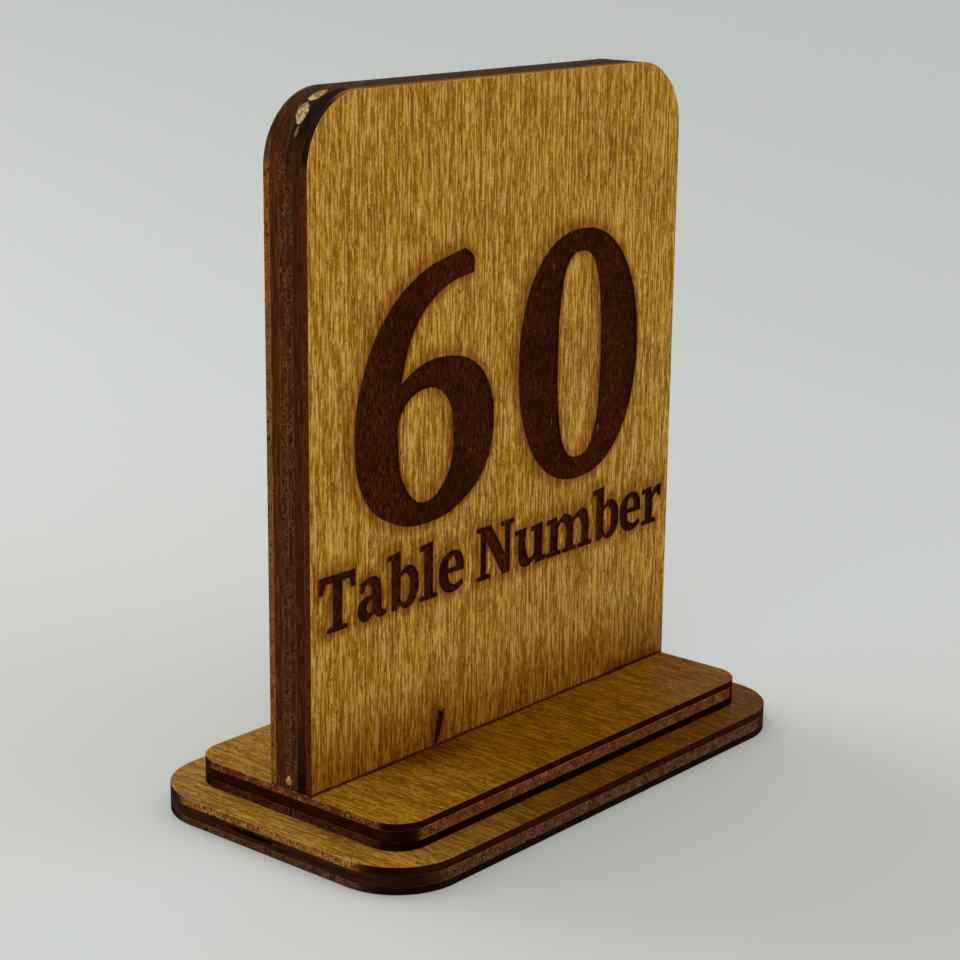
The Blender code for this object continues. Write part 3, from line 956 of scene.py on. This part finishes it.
def woods(node, index, face, thick_axis):
    """A ply's materials, in the order of the slots."""
    along_dark, along_pale, across_dark, across_pale, oblique = EDGE_TONES[node]
    foot = foot_top if node == "front_sheet_core_ply" else None
    tones = ((along_dark, along_pale), (across_dark, across_pale), oblique)
    return face, scorched_edge(f"{node}_edge", thick_axis, *tones, SEED_STEP * index, foot), burnt


def fibre_of(node):
    """The direction of a ply's fibres in its sheet: a core's run across the others'."""
    return (1, 0) if "core" in node else (0, 1)


def make_sign():
    corners = sign_corners(half, foot_top + GLUE_FILM, sign_top, plates_meet + GLUE_FILM)
    shape = outline(corners, EDGE_STEP)
    for index, node in enumerate(SIGN_NODES):
        looks = woods(node, index, sign_veneer, "Y")
        common = (*span_in(sign_levels, index), fibre_of(node), index * SEED_STEP, looks)
        if node == "front_sheet_face_ply":
            made = engraved_ply(f"{node}_wood", upright, shape, *common, chipped)
        else:
            shown = SHOWN_SIDES.get(node, ())
            made = ply(f"{node}_wood", upright, [shape], *common, shown, chipped)
        keep(made, node)


def mortises():
    """The upper plate's holes for the tenons, as clockwise loops with normals into the holes."""
    reach = TENON_WIDTH / 2 + GLUE_FILM
    depth = span("rear_sheet_face_ply", 1)[1] + GLUE_FILM
    holes = []
    for centre in tenon_centres():
        hole = rectangle((centre - reach, -depth), (centre + reach, depth))
        points, normals = outline(hole, HIDDEN_STEP)
        holes.append((points[::-1], -normals[::-1]))
    return holes


def make_foot():
    for index, node in enumerate(FOOT_NODES):
        is_upper = "upper" in node
        box_low, box_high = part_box(node)
        radius = UPPER_CORNER if is_upper else LOWER_CORNER
        shapes = [outline(rectangle(box_low[:2], box_high[:2], radius), EDGE_STEP)]
        if is_upper:
            shapes += mortises()
        looks = woods(node, FOOT_LOOKS + index, upper_veneer if is_upper else lower_veneer, "Z")
        common = (*span_in(foot_levels, index), fibre_of(node), FOOT_SEED + index * SEED_STEP, looks)
        shown = SHOWN_SIDES.get(node, ())
        keep(ply(f"{node}_wood", flat_down, shapes, *common, shown, DAMAGE.get(node)), node)


make_sign()
make_foot()


# ---------------------------------------------------------------- glue

DROP_WIDTH = 1.15 * MM
DROP_HEIGHT = 1.4 * MM
DROP_RISE = 0.3 * MM
DROP_MIDDLE = (0.42 * MM, 9.05 * MM)
DROP_SUNK = 0.12 * MM


def dried_glue():
    """Honey-coloured glue that has taken up the stain: glossy, with paler and darker clouds."""
    shader = Shader("dried_glue")
    clouds = shader.noise((0.5, 0.5, 0.5), 70.0, 3.0)
    colour = shader.blend(shader.ramp(clouds, 0.35, 0.65), srgb(214, 158, 62), srgb(168, 104, 28))
    normal = shader.bump(shader.noise((0.2, 0.2, 0.2), 75.0, 2.0), 0.02 * MM)
    return shader.finish(colour, 0.3, normal, specular=0.5)


def glue_drop():
    """A drop that ran out between the two sign sheets and dried on their left edge."""
    rings = 10
    sides = 28
    shape = bmesh.new()
    previous = None
    for ring in range(rings):
        spread = math.cos(math.pi / 2 * ring / rings)
        rise = math.sin(math.pi / 2 * ring / rings) * (DROP_RISE + DROP_SUNK)
        row = []
        for side in range(sides):
            turn = math.tau * side / sides
            # the top draws out to a tip
            tip = max(0.0, math.sin(turn)) ** 4
            y = math.cos(turn) * DROP_WIDTH / 2 * spread * (1 - 0.25 * max(0.0, math.sin(turn)))
            z = math.sin(turn) * DROP_HEIGHT / 2 * spread * (0.85 + 0.35 * tip)
            x = -half + DROP_SUNK - rise
            row.append(shape.verts.new((x, DROP_MIDDLE[0] + y, DROP_MIDDLE[1] + z)))
        if previous is None:
            shape.faces.new(row)
        else:
            for side in range(sides):
                after = (side + 1) % sides
                shape.faces.new((previous[side], previous[after], row[after], row[side]))
        previous = row
    crown = shape.verts.new((-half - DROP_RISE, *DROP_MIDDLE))
    for side in range(sides):
        shape.faces.new((previous[side], previous[(side + 1) % sides], crown))
    bmesh.ops.recalc_face_normals(shape, faces=shape.faces)
    mesh = bpy.data.meshes.new("glue_drop")
    shape.to_mesh(mesh)
    shape.free()
    mesh.shade_smooth()
    mesh.materials.append(dried_glue())
    drop = bpy.data.objects.new("glue_drop", mesh)
    bpy.context.scene.collection.objects.link(drop)
    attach(drop, "root")


glue_drop()


# ---------------------------------------------------------------- studio


FLOOR_RADIUS = 0.33
SWEEP_RADIUS = 0.8
SWEEP_ANGLE = math.radians(70)
SWEEP_STEPS = 24
BOWL_SIDES = 96
PAPER = (219, 221, 219)
SKY = (0.93, 0.95, 0.92, 1)
SKY_STRENGTH = 0.64

# Softboxes: degrees to the right of the camera's own direction, reach and height in metres, the height
# they aim at, their size and their watts
LAMPS = {
    "right_softbox": (75, 0.55, 0.38, 0.05, (0.45, 0.45), 0.55),
    "left_softbox": (-125, 0.5, 0.45, 0.03, (0.4, 0.4), 1.2),
    "camera_side_softbox": (-10, 0.6, 0.5, 0.05, (0.5, 0.3), 0.9),
}

# The camera that gives the sign's measured perspective: a 36 mm sensor, with no shift
CAMERA_PLACE = (-244.19 * MM, -205.45 * MM, 129.49 * MM)
CAMERA_TURN = math.radians(49.805)
CAMERA_DIP = math.radians(15.073)
CAMERA_ROLL = math.radians(0.667)
CAMERA_LENS = 85.74


def bowl():
    """A round pale studio floor whose rim sweeps up to a low wall."""
    profile = [(0.0, 0.0), (0.1, 0.0), (FLOOR_RADIUS, 0.0)]
    for step in range(1, SWEEP_STEPS + 1):
        turn = SWEEP_ANGLE * step / SWEEP_STEPS
        radius = FLOOR_RADIUS + SWEEP_RADIUS * math.sin(turn)
        profile.append((radius, SWEEP_RADIUS * (1 - math.cos(turn))))
    shape = bmesh.new()
    rim = [shape.verts.new((radius, 0.0, height)) for radius, height in profile]
    for first, second in zip(rim, rim[1:]):
        shape.edges.new((first, second))
    bmesh.ops.spin(
        shape,
        geom=shape.verts[:] + shape.edges[:],
        cent=(0, 0, 0),
        axis=(0, 0, 1),
        angle=math.tau,
        steps=BOWL_SIDES,
        use_merge=True,
    )
    bmesh.ops.remove_doubles(shape, verts=shape.verts, dist=10 * TINY)
    bmesh.ops.recalc_face_normals(shape, faces=shape.faces)
    mesh = bpy.data.meshes.new("studio_floor")
    shape.to_mesh(mesh)
    shape.free()
    mesh.shade_smooth()
    floor = bpy.data.objects.new("studio_floor", mesh)
    bpy.context.scene.collection.objects.link(floor)
    material = bpy.data.materials.new("studio_paper")
    material.use_nodes = True
    surface = material.node_tree.nodes["Principled BSDF"]
    surface.inputs["Base Color"].default_value = srgb(*PAPER)
    surface.inputs["Roughness"].default_value = 0.8
    surface.inputs["Specular IOR Level"].default_value = 0.2
    mesh.materials.append(material)


def lamp(name, turn, reach, height, aim, size, power):
    light = bpy.data.lights.new(name, "AREA")
    light.shape = "RECTANGLE"
    light.size, light.size_y = size
    light.energy = power
    made = bpy.data.objects.new(name, light)
    angle = CAMERA_TURN + math.radians(180 - turn)
    made.location = (reach * math.sin(angle), reach * math.cos(angle), height)
    direction = Vector((0, 0, aim)) - made.location
    made.rotation_euler = direction.to_track_quat("-Z", "Y").to_euler()
    bpy.context.scene.collection.objects.link(made)


def studio():
    bowl()
    for name, settings in LAMPS.items():
        lamp(name, *settings)
    world = bpy.data.worlds.new("studio")
    bpy.context.scene.world = world
    world.use_nodes = True
    background = world.node_tree.nodes["Background"]
    background.inputs["Color"].default_value = SKY
    background.inputs["Strength"].default_value = SKY_STRENGTH
    bpy.context.scene.view_settings.view_transform = "Standard"


def camera():
    data = bpy.data.cameras.new("camera")
    data.lens = CAMERA_LENS
    data.sensor_width = 36
    data.clip_start = 0.01
    data.clip_end = 20
    made = bpy.data.objects.new("camera", data)
    turn = Matrix.Rotation(-CAMERA_TURN, 4, "Z")
    dip = Matrix.Rotation(math.pi / 2 - CAMERA_DIP, 4, "X")
    roll = Matrix.Rotation(CAMERA_ROLL, 4, "Z")
    made.matrix_world = Matrix.Translation(CAMERA_PLACE) @ turn @ dip @ roll
    bpy.context.scene.collection.objects.link(made)
    bpy.context.scene.camera = made


studio()
camera()
